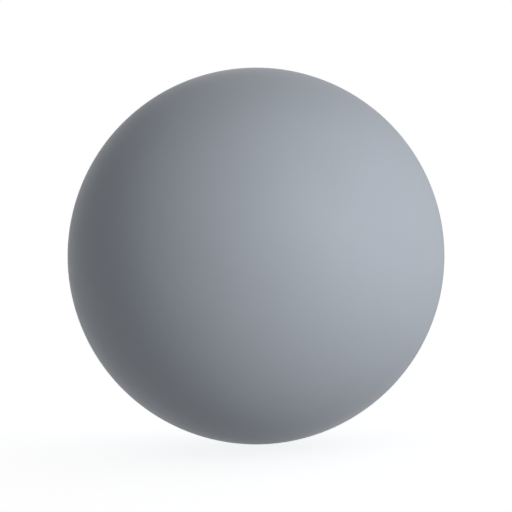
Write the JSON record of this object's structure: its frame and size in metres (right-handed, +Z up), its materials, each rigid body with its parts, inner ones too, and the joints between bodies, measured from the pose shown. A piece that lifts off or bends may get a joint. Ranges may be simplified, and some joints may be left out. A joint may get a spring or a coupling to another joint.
{
  "type": "exercise ball",
  "caption": "Smooth inflated exercise ball: a thin soft hollow sphere with a push-in air valve and pull-out plug at one pole.",
  "frame": {"origin": "centre of the ball", "axes": "+Z up, away from the floor that the ball stands on at z = -0.325 m; +Y out along the valve's axis; -Y faces the viewer in the picture"},
  "size_m": [0.6499, 0.6499, 0.6498],
  "materials": {
    "soft_pvc_skin": "matte",
    "soft_pvc_valve": "satin",
    "white_plug": "satin"
  },
  "bodies": {
    "ball": {"ball_shell": "soft_pvc_skin", "valve_seat": "soft_pvc_valve"},
    "plug": {"valve_plug": "white_plug"}
  },
  "joints": [
    {"name": "plug_pull", "type": "slide", "parent": "ball", "child": "plug", "axis": [0, 1, 0], "range_m": [0, 0.035]}
  ]
}
